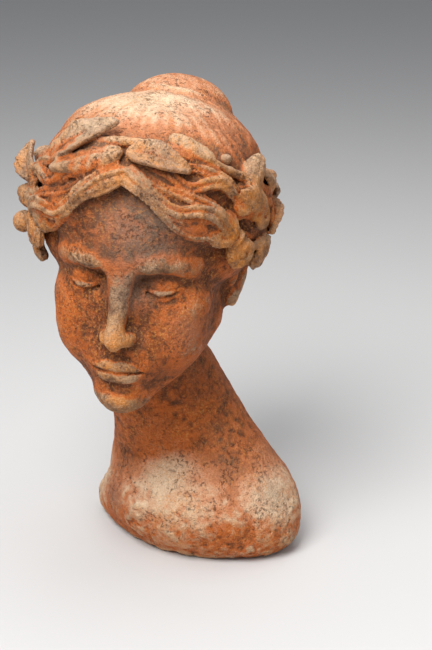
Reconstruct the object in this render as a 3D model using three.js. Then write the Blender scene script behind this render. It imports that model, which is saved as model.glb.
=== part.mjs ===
import * as THREE from 'three';

// A cast iron garden bust of a young woman: bowed head with a leaf wreath over combed and curled hair, a knot of
// hair at the back, a leaning neck and a small rounded foot with a flat underside. The casting is one solid.
// It faces -Y, her left is +X, and the origin is the centre of the underside.

// Height of the figure in millimetres. Every place and radius below is drawn for 340 and follows this height.
const HEIGHT = 340;
const UNIT = HEIGHT / 340;

// The head: where the middle of the skull at eye height stands, its size, and its turn in degrees (to her left,
// bowed forward, crown leaning to her left).
const HEAD_AT = [-17, -36, 226];
const HEAD_SIZE = 0.95;
const HEAD_TURN = { left: 18, bow: 3, lean: 3 };

// The round that the hair fills, in the head's own frame, and the knot at its back.
const HAIR_CENTRE = [0, 6, 24];
const HAIR_RADII = [79, 91, 80];
const HAIR_SQUARE = 2.6;
const KNOT_AT = [4, 60, 79];
const KNOT_RADII = [40, 34, 29];

// The foot: the middle and half-sizes of the shoulders, which lean by FOOT_LEAN degrees, of the chest before them and
// of the base below them.
const FOOT_AT = [-3, 0, 24];
const FOOT_RADII = [81, 43, 28];
const FOOT_LEAN = -7;
const CHEST_AT = [-1, -11, 32];
const CHEST_RADII = [64, 49, 38];
const BASE_AT = [1, -1, 14];
const BASE_RADII = [77, 42, 26];

// The clay that the figure is drawn in: its room beyond the round of the hair, the size of its cubes, and how far
// off the surface its distances are worth knowing.
const CLAY_ROOM = 28;
const CLAY_CELL = 1.9;
const BAND = 8;

// The skin: first a close net of rays, columns around and rows up the foot, the throat and the head, whose
// slopes run from under the chin to the crown. A gap under a leaf narrower than OVERHANG is closed over, and points
// farther apart than RIM_STEP are evened RIM_PASSES times. Then the flattest facets are merged until FACETS are left,
// with the face counted finer by FACE_CARE.
const COLUMNS = 250;
const FOOT_ROWS = 36;
const THROAT_ROWS = 26;
const HEAD_ROWS = 120;
const NECK_SLOPE = -20;
const LOWEST_SLOPE = -50;
const OVERHANG = 10;
const RIM_STEP = 3.5;
const RIM_PASSES = 3;
const FACETS = 9800;
const FACE_CARE = 3;

const RUST = { color: 0x9c5c36, roughness: 0.9, metalness: 0.25 };

const SIDES = [-1, 1];
const add = (a, b) => a.map((v, i) => v + b[i]);
const sub = (a, b) => a.map((v, i) => v - b[i]);
const times = (a, k) => a.map((v) => v * k);
const dot = (a, b) => a[0] * b[0] + a[1] * b[1] + a[2] * b[2];
const cross = (a, b) => [a[1] * b[2] - a[2] * b[1], a[2] * b[0] - a[0] * b[2], a[0] * b[1] - a[1] * b[0]];
const unit = (a) => times(a, 1 / Math.hypot(...a));
const mix = (a, b, t) => a + (b - a) * t;
const clamp = (v, low, high) => Math.min(Math.max(v, low), high);
const radians = (degrees) => (degrees * Math.PI) / 180;
const steps = (count) => Array.from({ length: count }, (_, i) => i / (count - 1));

// Rows of a turn about one axis; a turn takes local places to outer ones.
function spin(axis, degrees) {
  const [i, j] = { x: [1, 2], y: [2, 0], z: [0, 1] }[axis];
  const rows = [[1, 0, 0], [0, 1, 0], [0, 0, 1]];
  const [c, s] = [Math.cos(radians(degrees)), Math.sin(radians(degrees))];
  rows[i][i] = c;
  rows[i][j] = -s;
  rows[j][i] = s;
  rows[j][j] = c;
  return rows;
}

const product = (a, b) => a.map((row) => [0, 1, 2].map((j) => row[0] * b[0][j] + row[1] * b[1][j] + row[2] * b[2][j]));
const outward = (m, p) => m.map((row) => dot(row, p));
const inward = (m, p) => [0, 1, 2].map((j) => m[0][j] * p[0] + m[1][j] * p[1] + m[2][j] * p[2]);

// Soft joins: two distances blend over the width k.
function softMin(a, b, k) {
  const h = Math.max(k - Math.abs(a - b), 0) / k;
  return Math.min(a, b) - (h * h * k) / 4;
}

const softMax = (a, b, k) => -softMin(-a, -b, k);

// An ellipsoid; turn, when given, holds its own axes as columns.
function egg(centre, [rx, ry, rz], turn = spin('z', 0)) {
  const [ax, ay, az] = turn;
  const distance = (x, y, z) => {
    const [px, py, pz] = [x - centre[0], y - centre[1], z - centre[2]];
    const u = (px * ax[0] + py * ay[0] + pz * az[0]) / rx;
    const v = (px * ax[1] + py * ay[1] + pz * az[1]) / ry;
    const w = (px * ax[2] + py * ay[2] + pz * az[2]) / rz;
    const near = Math.sqrt(u * u + v * v + w * w);
    const steep = Math.sqrt((u / rx) ** 2 + (v / ry) ** 2 + (w / rz) ** 2);
    return (near * (near - 1)) / Math.max(steep, 1e-6);
  };
  return { centre, reach: Math.max(rx, ry, rz), distance };
}

// A rod with round ends whose radius runs from ra to rb.
function rod(a, b, ra, rb) {
  const run = sub(b, a);
  const square = dot(run, run);
  const distance = (x, y, z) => {
    const [px, py, pz] = [x - a[0], y - a[1], z - a[2]];
    const t = clamp((px * run[0] + py * run[1] + pz * run[2]) / square, 0, 1);
    const [qx, qy, qz] = [px - t * run[0], py - t * run[1], pz - t * run[2]];
    return Math.sqrt(qx * qx + qy * qy + qz * qz) - mix(ra, rb, t);
  };
  return { centre: times(add(a, b), 0.5), reach: Math.sqrt(square) / 2 + Math.max(ra, rb), distance };
}

// Points along a smooth curve through rows of numbers.
function smoothCurve(rows, count) {
  const first = rows[0].map((v, i) => 2 * v - rows[1][i]);
  const last = rows.at(-1).map((v, i) => 2 * v - rows.at(-2)[i]);
  const all = [first, ...rows, last];
  return steps(count).map((share) => {
    const t = Math.min(share * (rows.length - 1), rows.length - 1 - 1e-9);
    const i = Math.floor(t);
    const f = t - i;
    const [a, b, c, d] = all.slice(i, i + 4);
    return b.map((v, n) => 0.5 * (2 * v + (c[n] - a[n]) * f + (2 * a[n] - 5 * v + 4 * c[n] - d[n]) * f ** 2
      + (3 * v - a[n] - 3 * c[n] + d[n]) * f ** 3));
  });
}

// A tapering lock of hair. Rows of the route are x, y, z, radius; its back faces the core.
function lock(route, core, { flat, strands, depth, twist, count }) {
  const rows = smoothCurve(route, count);
  const radius = rows.map((row) => row[3]);
  const line = rows.map((row) => row.slice(0, 3));
  const pieces = line.slice(0, -1).map((a, i) => {
    const run = sub(line[i + 1], a);
    const length = Math.hypot(...run);
    const along = times(run, 1 / length);
    const away = sub(times(add(a, line[i + 1]), 0.5), core);
    const out = unit(sub(away, times(along, dot(away, along))));
    return { a, run, length, along, out, side: cross(along, out), reach: length + radius[i] };
  });
  const distance = (x, y, z, farthest) => {
    let best = farthest;
    for (let i = 0; i < pieces.length; i += 1) {
      const { a, run, length, along, out, side, reach } = pieces[i];
      const px = x - a[0];
      const py = y - a[1];
      const pz = z - a[2];
      const far = reach + best;
      if (far > 0 && px * px + py * py + pz * pz < far * far) {
        const t = clamp((px * run[0] + py * run[1] + pz * run[2]) / length ** 2, 0, 1);
        const qx = px - t * run[0];
        const qy = py - t * run[1];
        const qz = pz - t * run[2];
        const r = mix(radius[i], radius[i + 1], t);
        const u = qx * side[0] + qy * side[1] + qz * side[2];
        const v = (qx * out[0] + qy * out[1] + qz * out[2]) / flat;
        const w = qx * along[0] + qy * along[1] + qz * along[2];
        const angle = (strands * Math.atan2(v, u)) / 2 + (twist * Math.PI * (i + t)) / (count - 1);
        const ridge = depth * r * Math.abs(Math.sin(angle));
        best = Math.min(best, Math.sqrt(u * u + v * v + w * w) - r * (1 - depth) - ridge);
      }
    }
    return best < farthest ? best * Math.sqrt(flat) : Infinity;
  };
  const low = [0, 1, 2].map((i) => Math.min(...line.map((p) => p[i])));
  const high = [0, 1, 2].map((i) => Math.max(...line.map((p) => p[i])));
  return { centre: times(add(low, high), 0.5), reach: Math.hypot(...sub(high, low)) / 2 + Math.max(...radius), distance };
}

// A pointed leaf from base to tip, arched along by bend and across by cup; out is the way that its face looks.
function leaf(base, tip, face, width, { bend, cup, thick }) {
  const run = sub(tip, base);
  const length = Math.hypot(...run);
  const along = times(run, 1 / length);
  const out = unit(sub(face, times(along, dot(face, along))));
  const side = cross(along, out);
  const distance = (x, y, z) => {
    const p = [x - base[0], y - base[1], z - base[2]];
    const [t, u, v] = [dot(p, along) / length, dot(p, side), dot(p, out)];
    const s = clamp(t, 0, 1);
    const half = (width / 2) * Math.max(Math.sin(Math.PI * s ** 0.8), 0) ** 0.75 + 0.6;
    const across = u / (width / 2);
    const middle = bend * 4 * s * (1 - s) + cup * across ** 2;
    const vein = 0.35 * Math.cos(2 * Math.PI * (s * 5.5 - Math.abs(across) * 0.9)) * Math.min(Math.abs(across) * 3, 1);
    const rib = v > middle ? 0.9 * Math.exp(-((u / 1.3) ** 2)) + vein : 0;
    const body = thick * (1 - 0.35 * Math.min(across ** 2, 1)) - rib;
    const blade = softMax(Math.abs(v - middle) - body, (Math.abs(u) - half) * 0.85, 1.2);
    return softMax(blade, (Math.abs(t - 0.5) - 0.5) * length, 1.2);
  };
  return { centre: times(add(base, tip), 0.5), reach: length / 2 + width / 2 + Math.abs(bend) + Math.abs(cup), distance };
}

// A block of clay: distances to the surface on a grid of cubes, negative inside, from soft joins and cuts made in
// order. place() sets the frame of the shapes that follow.
class Clay {
  constructor(low, high, cell) {
    this.low = low;
    this.cell = cell;
    this.size = low.map((v, i) => Math.ceil((high[i] - v) / cell) + 1);
    this.values = new Float32Array(this.size[0] * this.size[1] * this.size[2]).fill(60);
  }

  place(origin, turn, scale) {
    this.frame = { origin, turn, scale };
  }

  put(shape, k, way) {
    const { origin, turn, scale } = this.frame;
    const centre = add(times(outward(turn, shape.centre), scale), origin);
    const near = (shape.reach + k) * scale + 2.5 * this.cell;
    const from = centre.map((v, i) => Math.max(Math.ceil((v - near - this.low[i]) / this.cell), 0));
    const to = centre.map((v, i) => Math.min(Math.floor((v + near - this.low[i]) / this.cell), this.size[i] - 1));
    const [tx, ty, tz] = turn;
    const soft = k * scale;
    for (let i = from[0]; i <= to[0]; i += 1) {
      const x = (this.low[0] + i * this.cell - origin[0]) / scale;
      for (let j = from[1]; j <= to[1]; j += 1) {
        const y = (this.low[1] + j * this.cell - origin[1]) / scale;
        let at = (i * this.size[1] + j) * this.size[2] + from[2];
        for (let n = from[2]; n <= to[2]; n += 1, at += 1) {
          const z = (this.low[2] + n * this.cell - origin[2]) / scale;
          const u = x * tx[0] + y * ty[0] + z * tz[0];
          const v = x * tx[1] + y * ty[1] + z * tz[1];
          const w = x * tx[2] + y * ty[2] + z * tz[2];
          const now = this.values[at];
          const own = shape.distance(u, v, w, Math.min(now, BAND) / scale + k) * scale;
          this.values[at] = way > 0 ? softMin(now, own, soft) : softMax(now, -own, soft);
        }
      }
    }
  }

  add(shape, k) {
    this.put(shape, k, 1);
  }

  cut(shape, k) {
    this.put(shape, k, -1);
  }

  // Rods with round ends through rows of x, y, z, radius.
  rope(rows, k, way = 1) {
    const points = smoothCurve(rows, 3 * rows.length - 2);
    points.slice(0, -1).forEach((a, i) => {
      const b = points[i + 1];
      this.put(rod(a.slice(0, 3), b.slice(0, 3), a[3], b[3]), k, way);
    });
  }

  // Distance to the surface at a point, read between the cubes' corners.
  depth(x, y, z) {
    const place = [x, y, z].map((v, i) => clamp((v - this.low[i]) / this.cell, 0, this.size[i] - 1.001));
    const [i, j, n] = place.map(Math.floor);
    const [f, g, h] = [place[0] - i, place[1] - j, place[2] - n];
    const [stepX, stepY] = [this.size[1] * this.size[2], this.size[2]];
    const a = i * stepX + j * stepY + n;
    const edge = (at) => mix(this.values[at], this.values[at + 1], h);
    return mix(mix(edge(a), edge(a + stepY), g), mix(edge(a + stepX), edge(a + stepX + stepY), g), f);
  }
}

function modelSkull(clay) {
  clay.add(egg([0, 6, 22], [62, 78, 73]), 1);
  clay.add(egg([0, -30, 30], [53, 50, 46]), 14);
  clay.add(egg([0, -24, -26], [53, 54, 66]), 14);
  for (const s of SIDES) {
    clay.add(egg([s * 34, -47, -18], [18, 20, 14]), 14);
    clay.add(rod([s * 41, -6, -44], [s * 9, -62, -80], 13, 12), 18);
    clay.add(egg([s * 28, -50, -42], [22, 22, 24]), 16);
  }
  clay.add(egg([0, -69, -82], [15, 15, 14]), 10);
  clay.add(egg([0, -65, -54], [25, 20, 22]), 12);
}

// Brow, socket, ball and lowered lids of each eye.
function modelEyes(clay) {
  for (const s of SIDES) {
    clay.rope([[s * 9, -70, 11, 3], [s * 18, -69.5, 14.5, 3.4], [s * 30, -64, 16.5, 3.4], [s * 43, -52, 11, 3]], 13);
    clay.cut(egg([s * 26, -84, 1], [15.5, 15.5, 8.5]), 9);
    clay.cut(egg([s * 14, -81, 2], [4.5, 10, 6.5]), 7);
    clay.add(egg([s * 25, -60, 0], [13.5, 11.5, 11.5]), 2.5);
    const lid = (rows, k, way) => clay.rope(rows.map(([x, y, z, r]) => [s * (25 + x), y - 60, z, r]), k, way);
    const upper = [[-13.5, -4, -3, 0.9], [-7, -9.8, -4, 1.5], [0, -11.6, -5, 1.7], [7, -9.8, -4.6, 1.5], [14, -3, -2.6, 1.1]];
    const lower = [[-12, -4.5, -4.5, 1], [-6, -8.6, -7.4, 1.3], [1, -9.7, -8.8, 1.4], [8, -7.6, -7.6, 1.3], [14, -2.6, -4, 1]];
    lid(upper, 1.2, 1);
    lid(lower, 2, 1);
  }
}

function modelNose(clay) {
  clay.add(rod([0, -73, 14], [0, -88, -28], 5.2, 6), 12);
  clay.add(egg([0, -90.5, -33.5], [6.6, 8.2, 6.2]), 6);
  for (const s of SIDES) {
    clay.add(egg([s * 7.8, -82, -35.5], [4.4, 7.4, 5]), 5);
  }
  clay.add(rod([0, -92, -38], [0, -84, -42], 2.4, 2.8), 3);
}

function modelMouth(clay) {
  clay.cut(rod([0, -88, -44], [0, -90, -51], 1.6, 2.2), 3);
  for (const s of SIDES) {
    const upper = [[1, -84.8, -55.6, 2.4], [5, -84.7, -54.8, 2.8], [10, -82.2, -56.4, 2.4], [16, -77.6, -59.6, 1.2]];
    const lower = [[0, -83.2, -63.4, 3.6], [6, -82.4, -63.4, 3.5], [11, -79.8, -62.6, 2.6], [15.6, -77, -60.6, 1.2]];
    for (const lip of [upper, lower]) {
      clay.rope(lip.map(([x, ...rest]) => [s * x, ...rest]), 3);
    }
  }
  clay.add(egg([0, -85.4, -56.8], [3.4, 2.6, 2.2]), 2);
  for (const s of SIDES) {
    clay.rope([[0, -88.6, -59.6, 1], [s * 5, -88, -59, 1], [s * 11, -84.2, -59.6, 1], [s * 17, -78.6, -60.6, 0.8]], 1.2, -1);
  }
  clay.cut(egg([0, -91, -73.5], [11, 7, 3.4]), 8);
}

function modelEars(clay) {
  for (const s of SIDES) {
    const turn = product(spin('x', -12), spin('z', s * -25));
    clay.add(egg([s * 52, 10, -18], [11, 15, 27]), 6);
    clay.add(egg([s * 61, 12, -13], [5, 13, 25], turn), 4);
    clay.cut(egg([s * 67, 9, -10], [5, 6.5, 14], turn), 3);
    clay.add(egg([s * 60, 4, -34], [4.5, 6, 7]), 4);
    clay.add(egg([s * 61, -1, -16], [3.5, 4, 6]), 3);
  }
}

// How far off the hair's round a place is: an egg below its middle, with squarer shoulders above it.
function offHair(x, y, z) {
  const [u, v, w] = [x, y, z].map((value, i) => (value - HAIR_CENTRE[i]) / HAIR_RADII[i]);
  const power = w > 0 ? HAIR_SQUARE : 2;
  const round = Math.max(Math.hypot(u, v), 1e-6);
  const near = (round ** power + Math.abs(w) ** power) ** (1 / power);
  const share = (round / near) ** (power - 1) / round;
  const rise = (Math.abs(w) / near) ** (power - 1);
  return (near - 1) / Math.hypot((share * u) / HAIR_RADII[0], (share * v) / HAIR_RADII[1], rise / HAIR_RADII[2]);
}

// A point on the hair's round, or lifted off it: azimuth from the face to her left, height from the ear line.
function onHair(azimuth, height, lift = 0) {
  const [a, h] = [radians(azimuth), radians(height)];
  const way = [Math.sin(a) * Math.cos(h), -Math.cos(a) * Math.cos(h), Math.sin(h)];
  let far = 80;
  for (let i = 0; i < 8; i += 1) {
    far -= offHair(...times(way, far));
  }
  return times(way, far + lift);
}

// The combed hair: strands run to the knot, and a slanting plane from brow to nape ends it.
function modelCap(clay) {
  const distance = (x, y, z) => {
    const below = (14 - 0.86 * y - z) / Math.hypot(1, 0.86);
    const fan = Math.atan2(x, -((y - KNOT_AT[1]) * 0.89 + (z - KNOT_AT[2]) * 0.45));
    const strands = 0.7 * Math.abs(Math.sin(6.5 * fan + 0.3)) + 0.4 * Math.sin(23 * fan) - 0.5;
    return softMax(offHair(x, y, z) - strands, below, 6);
  };
  clay.add({ centre: HAIR_CENTRE, reach: 96, distance }, 5);
  for (const s of SIDES) {
    clay.add(egg([s * (HAIR_RADII[0] - 25), 8, 23], [26, 41, 37]), 10);
    clay.add(egg([s * 50, -14, 10], [19, 28, 22]), 10);
    clay.add(egg([s * 30, -48, 52], [34, 26, 20], spin('y', s * 32)), 10);
  }
}

// The knot: a round with one thick coil wound about its axis.
function modelKnot(clay) {
  clay.add(egg(KNOT_AT, KNOT_RADII), 3);
  const axis = [0, 0.5, 0.866];
  const level = [0, 0.866, -0.5];
  const coil = steps(15).map((share) => {
    const turn = 1.6 * share;
    const ring = KNOT_RADII[0] - 9 - 14 * turn;
    const a = 2 * Math.PI * turn;
    const round = add([ring * Math.sin(a), 0, 0], times(level, ring * Math.cos(a)));
    const at = add(KNOT_AT, add(round, times(axis, 2 + 9 * turn)));
    return [...at, 11.5 - 2 * turn];
  });
  const core = sub(KNOT_AT, times(axis, 30));
  clay.add(lock(coil, core, { flat: 0.85, strands: 5, depth: 0.16, twist: 3, count: 38 }), 2.5);
}

// Waved locks from the parting round to the nape, this many on either side, each with a wave of its own.
const LOCKS = 7;
const LOCK_RADIUS = 6;

function modelLocks(clay) {
  for (const s of SIDES) {
    for (let n = 0; n < LOCKS; n += 1) {
      const waves = 2.2 + 0.4 * Math.sin(1.7 * n + 1);
      const lift = 0.3 + 1.9 * Math.sin(1.9 * n - 0.6);
      const route = steps(15).map((t) => {
        const swell = Math.sin(2 * Math.PI * (waves * t + 0.12 * s + 0.3 * n));
        const wave = (3 + 1.2 * Math.sin(2.1 * n)) * swell * Math.min(4 * t, 1);
        const height = mix(44 + 2.4 * n, 6 * n - 13, t) + wave;
        const off = (lift + 2.2 * swell) * Math.min(3 * t, 1);
        const full = 0.55 + 0.45 * Math.sin(Math.PI * Math.min(t * 1.3 + 0.12, 1) ** 0.8);
        const radius = (LOCK_RADIUS - 1.2 * Math.cos(2.6 * n)) * full * (1 + 0.12 * swell);
        return [...onHair(s * mix(1 + 2 * n, 114 + 3 * n, t), height, off), radius];
      });
      const hair = { flat: 0.68, strands: 5, depth: 0.36, twist: 1.6 * s + 0.3 * n, count: 38 };
      clay.add(lock(route, [0, 10, 20], hair), 1.6);
    }
  }
}

// Snail curls over the temples and ears: azimuth, height, ring, thickness and lift, and one before her right ear.
const CURLS = [
  [50, 24, 10, 6, 3], [64, 12, 11, 6, 5], [80, 24, 10, 6, 6], [86, 6, 11, 6, 6], [102, 0, 10, 5.5, 6],
  [106, 15, 11, 6, 5], [124, 2, 10, 5.5, 3], [66, 33, 9, 5.5, 5],
];
const RIGHT_CURL = [74, -3, 9, 6, 5];

function modelCurls(clay) {
  for (const s of SIDES) {
    (s < 0 ? [...CURLS, RIGHT_CURL] : CURLS).forEach(([azimuth, height, ring, thick, lift], n) => {
      const middle = onHair(s * azimuth, height, lift);
      const out = unit(sub(middle, HAIR_CENTRE));
      const side = unit(cross([0, 0, 1], out));
      const up = cross(out, side);
      const way = s * (n % 2 ? 1 : -1);
      const route = steps(11).map((t) => {
        const a = way * 2.5 * Math.PI * t + 0.9 * n + s;
        const r = ring * (1 - 0.72 * t);
        const flat = add(times(side, r * Math.cos(a)), times(up, r * Math.sin(a)));
        return [...add(add(middle, flat), times(out, 3 * t - 3)), thick * (1 - 0.35 * t)];
      });
      const core = sub(middle, times(out, 30));
      clay.add(lock(route, core, { flat: 0.7, strands: 5, depth: 0.3, twist: 1, count: 24 }), 1.6);
    });
  }
}

// The wreath's leaves: azimuth and height of base and tip, lift of both, width, and lean of the face upward.
const FRONT_LEAVES = [
  [0, 53, 34, 46, 5, 7, 20, 18],
  [26, 61, 50, 49, 3, 5, 16, 22],
  [-2, 53, -42, 41, 5, 7, 20, 18],
  [-48, 45, -10, 63, 3, 11, 22, 10],
  [68, 37, 90, 45, 5, 7, 18, 10],
  [84, 25, 60, 37, 5, 9, 20, -16],
  [-64, 32, -84, 41, 6, 12, 19, 14],
  [-62, 25, -86, 19, 4, 14, 18, -14],
];
const BACK_LEAVES = [
  [112, 28, 88, 37, 2, 7, 18, 12],
  [118, 20, 96, 10, 2, 7, 18, -12],
  [138, 14, 112, 24, 2, 10, 19, 12],
  [146, 8, 122, -4, 2, 9, 18, -12],
  [164, 4, 138, 12, 2, 9, 18, 12],
  [170, -2, 148, -12, 1, 7, 16, -12],
];
// Its berries: azimuth, height, lift and radius.
const BERRIES = [
  [-82, 8, 12, 8], [62, 50, 1, 4],
  [108, 32, 4, 5], [-108, 32, 4, 5], [132, 16, 7, 5], [-132, 16, 7, 5], [158, 4, 5, 5], [-158, 4, 5, 5],
];

function stemHeight(azimuth) {
  const c = Math.cos(radians(azimuth));
  return c < 0 ? mix(33, -2, -c) : mix(33, 58, c);
}

function modelWreath(clay) {
  const stem = steps(44).map((t) => mix(-172, 172, t)).map((a) => onHair(a, stemHeight(a), 2));
  stem.slice(0, -1).forEach((a, i) => clay.add(rod(a, stem[i + 1], 3.4, 3.4), 1.5));
  const mirrored = SIDES.flatMap((s) => BACK_LEAVES.map(([a, h, a2, ...rest]) => [s * a, h, s * a2, ...rest]));
  [...FRONT_LEAVES, ...mirrored].forEach(([a, h, a2, h2, low, high, width, lean], n) => {
    const [base, tip] = [onHair(a, h, low), onHair(a2, h2, high)];
    const face = add(times(unit(sub(times(add(base, tip), 0.5), HAIR_CENTRE)), 40), [0, 0, lean]);
    clay.add(leaf(base, tip, face, width, { bend: 3.5, cup: n % 3 ? -4.5 : 4, thick: 2.6 }), 1.5);
  });
  for (const [a, h, lift, r] of BERRIES) {
    clay.add(egg(onHair(a, h, lift), [r, r, r]), 1.2);
  }
}

function modelNeck(clay) {
  clay.add(rod([-23, 7, 66], [-28, -32, 168], 38, 34), 14);
  clay.add(rod([-17, -2, 114], [34, 6, 38], 28, 34), 24);
  clay.add(rod([-19, -10, 106], [-46, 4, 48], 27, 27), 20);
}

function modelFoot(clay) {
  clay.add(egg(FOOT_AT, FOOT_RADII, spin('y', FOOT_LEAN)), 16);
  clay.add(egg(BASE_AT, BASE_RADII), 16);
  clay.add(egg(CHEST_AT, CHEST_RADII), 14);
}

function headTurn() {
  return product(product(spin('z', HEAD_TURN.left), spin('x', HEAD_TURN.bow)), spin('y', HEAD_TURN.lean));
}

// The clay's block holds the head with its leaves, and the foot.
function clayBlock() {
  const reach = HEAD_SIZE * (Math.max(...HAIR_RADII) + CLAY_ROOM);
  const ends = [[FOOT_AT, FOOT_RADII], [BASE_AT, BASE_RADII], [HEAD_AT, [reach, reach, reach + 20]]];
  const low = [0, 1].map((i) => Math.min(...ends.map(([at, radii]) => at[i] - radii[i])) - 4);
  const high = [0, 1, 2].map((i) => Math.max(...ends.map(([at, radii]) => at[i] + radii[i])) + 4);
  return new Clay([...low, -4], high, CLAY_CELL);
}

function modelFigure() {
  const clay = clayBlock();
  const turn = headTurn();
  const upright = spin('z', 0);
  clay.place(HEAD_AT, turn, HEAD_SIZE);
  modelSkull(clay);
  clay.place([0, 0, 0], upright, 1);
  modelNeck(clay);
  clay.place(HEAD_AT, turn, HEAD_SIZE);
  modelEyes(clay);
  modelNose(clay);
  modelMouth(clay);
  modelEars(clay);
  modelCap(clay);
  modelKnot(clay);
  modelLocks(clay);
  modelCurls(clay);
  modelWreath(clay);
  clay.place([0, 0, 0], upright, 1);
  modelFoot(clay);
  return clay;
}

// Fans of rays that end on the skin, from the underside up: level at the foot, sinking as they climb the neck so
// that they reach under the chin, then opening from the middle of the head to the crown.
function fans() {
  const middle = add(HEAD_AT, [0, 0, 19]);
  const neck = [-21, -28, 154];
  const lowest = Math.tan(radians(LOWEST_SLOPE));
  const low = Math.tan(radians(NECK_SLOPE));
  const rows = steps(FOOT_ROWS).map((t) => ({ at: times(neck, t), slope: low * t * t }));
  for (const t of steps(THROAT_ROWS + 1).slice(1)) {
    rows.push({ at: neck.map((v, i) => mix(v, middle[i], t)), slope: mix(low, lowest, t) });
  }
  for (const t of steps(HEAD_ROWS + 1).slice(1)) {
    rows.push({ at: middle, slope: Math.tan(radians(mix(LOWEST_SLOPE, 89.9, t))) });
  }
  return rows;
}

// Where a ray leaves the clay.
function edgeOf(clay, at, azimuth, slope) {
  const way = unit([Math.sin(azimuth), -Math.cos(azimuth), slope]);
  const depth = (r) => clay.depth(at[0] + way[0] * r, at[1] + way[1] * r, Math.max(at[2] + way[2] * r, 2));
  let inside = 0;
  for (let r = 6; r < inside + OVERHANG + 6; r += 1) {
    if (depth(r) < 0) {
      inside = r;
    }
  }
  let outside = inside + 1;
  for (let i = 0; i < 10; i += 1) {
    const r = (inside + outside) / 2;
    [inside, outside] = depth(r) < 0 ? [r, outside] : [inside, r];
  }
  return add(at, times(way, inside));
}

// Points beside a step, such as the rim of a leaf, are drawn toward their neighbours, which evens the rim.
function evenRims(points, rows, name) {
  for (let pass = 0; pass < RIM_PASSES; pass += 1) {
    const before = points.slice();
    for (let r = FOOT_ROWS; r < rows - 1; r += 1) {
      for (let c = 0; c < COLUMNS; c += 1) {
        const here = before[name(r, c)];
        const beside = [name(r - 1, c), name(r + 1, c), name(r, c + COLUMNS - 1), name(r, c + 1)].map((i) => before[i]);
        if (Math.max(...beside.map((p) => Math.hypot(...sub(p, here)))) > RIM_STEP) {
          points[name(r, c)] = beside.reduce((sum, p) => add(sum, times(p, 0.125)), times(here, 0.5));
        }
      }
    }
  }
}

// A closed net of facets over the figure. The first point is the centre of the underside.
function closeNet(clay) {
  const rows = fans();
  const crown = rows.pop();
  const points = [[0, 0, 0]];
  for (const { at, slope } of rows) {
    for (let column = 0; column < COLUMNS; column += 1) {
      points.push(edgeOf(clay, at, (2 * Math.PI * column) / COLUMNS, slope));
    }
  }
  points.push(edgeOf(clay, crown.at, 0, crown.slope));
  const name = (row, column) => 1 + row * COLUMNS + (column % COLUMNS);
  evenRims(points, rows.length, name);
  const faces = [];
  for (let c = 0; c < COLUMNS; c += 1) {
    faces.push([0, name(0, c + 1), name(0, c)]);
    faces.push([points.length - 1, name(rows.length - 1, c), name(rows.length - 1, c + 1)]);
    for (let r = 0; r < rows.length - 1; r += 1) {
      const [a, b, d, e] = [name(r, c), name(r, c + 1), name(r + 1, c), name(r + 1, c + 1)];
      const split = Math.hypot(...sub(points[a], points[e])) < Math.hypot(...sub(points[b], points[d]));
      faces.push(...(split ? [[a, b, e], [a, e, d]] : [[a, b, d], [b, e, d]]));
    }
  }
  return { points, faces };
}

// The lowest first out of many, kept as a binary heap of [cost, ...].
class Queue {
  items = [];

  push(item) {
    const { items } = this;
    let i = items.length;
    items.push(item);
    while (i > 0 && items[(i - 1) >> 1][0] > item[0]) {
      items[i] = items[(i - 1) >> 1];
      i = (i - 1) >> 1;
    }
    items[i] = item;
  }

  pop() {
    const { items } = this;
    const [top, item] = [items[0], items.pop()];
    if (items.length) {
      let i = 0;
      for (let child = 1; child < items.length; child = 2 * i + 1) {
        if (child + 1 < items.length && items[child + 1][0] < items[child][0]) {
          child += 1;
        }
        if (items[child][0] >= item[0]) {
          break;
        }
        items[i] = items[child];
        i = child;
      }
      items[i] = item;
    }
    return top;
  }
}

const normal = (a, b, c) => cross(sub(b, a), sub(c, a));

// How far, squared, a place is from the planes that a point stands for: the ten sums of a plane's products.
function planeSums(n, d, weight) {
  const [a, b, c] = n;
  return [a * a, a * b, a * c, a * d, b * b, b * c, b * d, c * c, c * d, d * d].map((v) => v * weight);
}

function offPlanes(q, [x, y, z]) {
  return q[0] * x * x + q[4] * y * y + q[7] * z * z + q[9]
    + 2 * (q[1] * x * y + q[2] * x * z + q[3] * x + q[5] * y * z + q[6] * y + q[8] * z);
}

// The place that lies nearest to all the planes, if there is one.
function nearestToPlanes(q) {
  const rows = [[q[0], q[1], q[2]], [q[1], q[4], q[5]], [q[2], q[5], q[7]]];
  const right = [-q[3], -q[6], -q[8]];
  const whole = dot(rows[0], cross(rows[1], rows[2]));
  const size = q[0] + q[4] + q[7];
  if (Math.abs(whole) < 1e-4 * size ** 3) {
    return null;
  }
  const swapped = (i) => rows.map((row, j) => row.map((v, n) => (n === i ? right[j] : v)));
  return [0, 1, 2].map((i) => {
    const [a, b, c] = swapped(i);
    return dot(a, cross(b, c)) / whole;
  });
}

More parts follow.
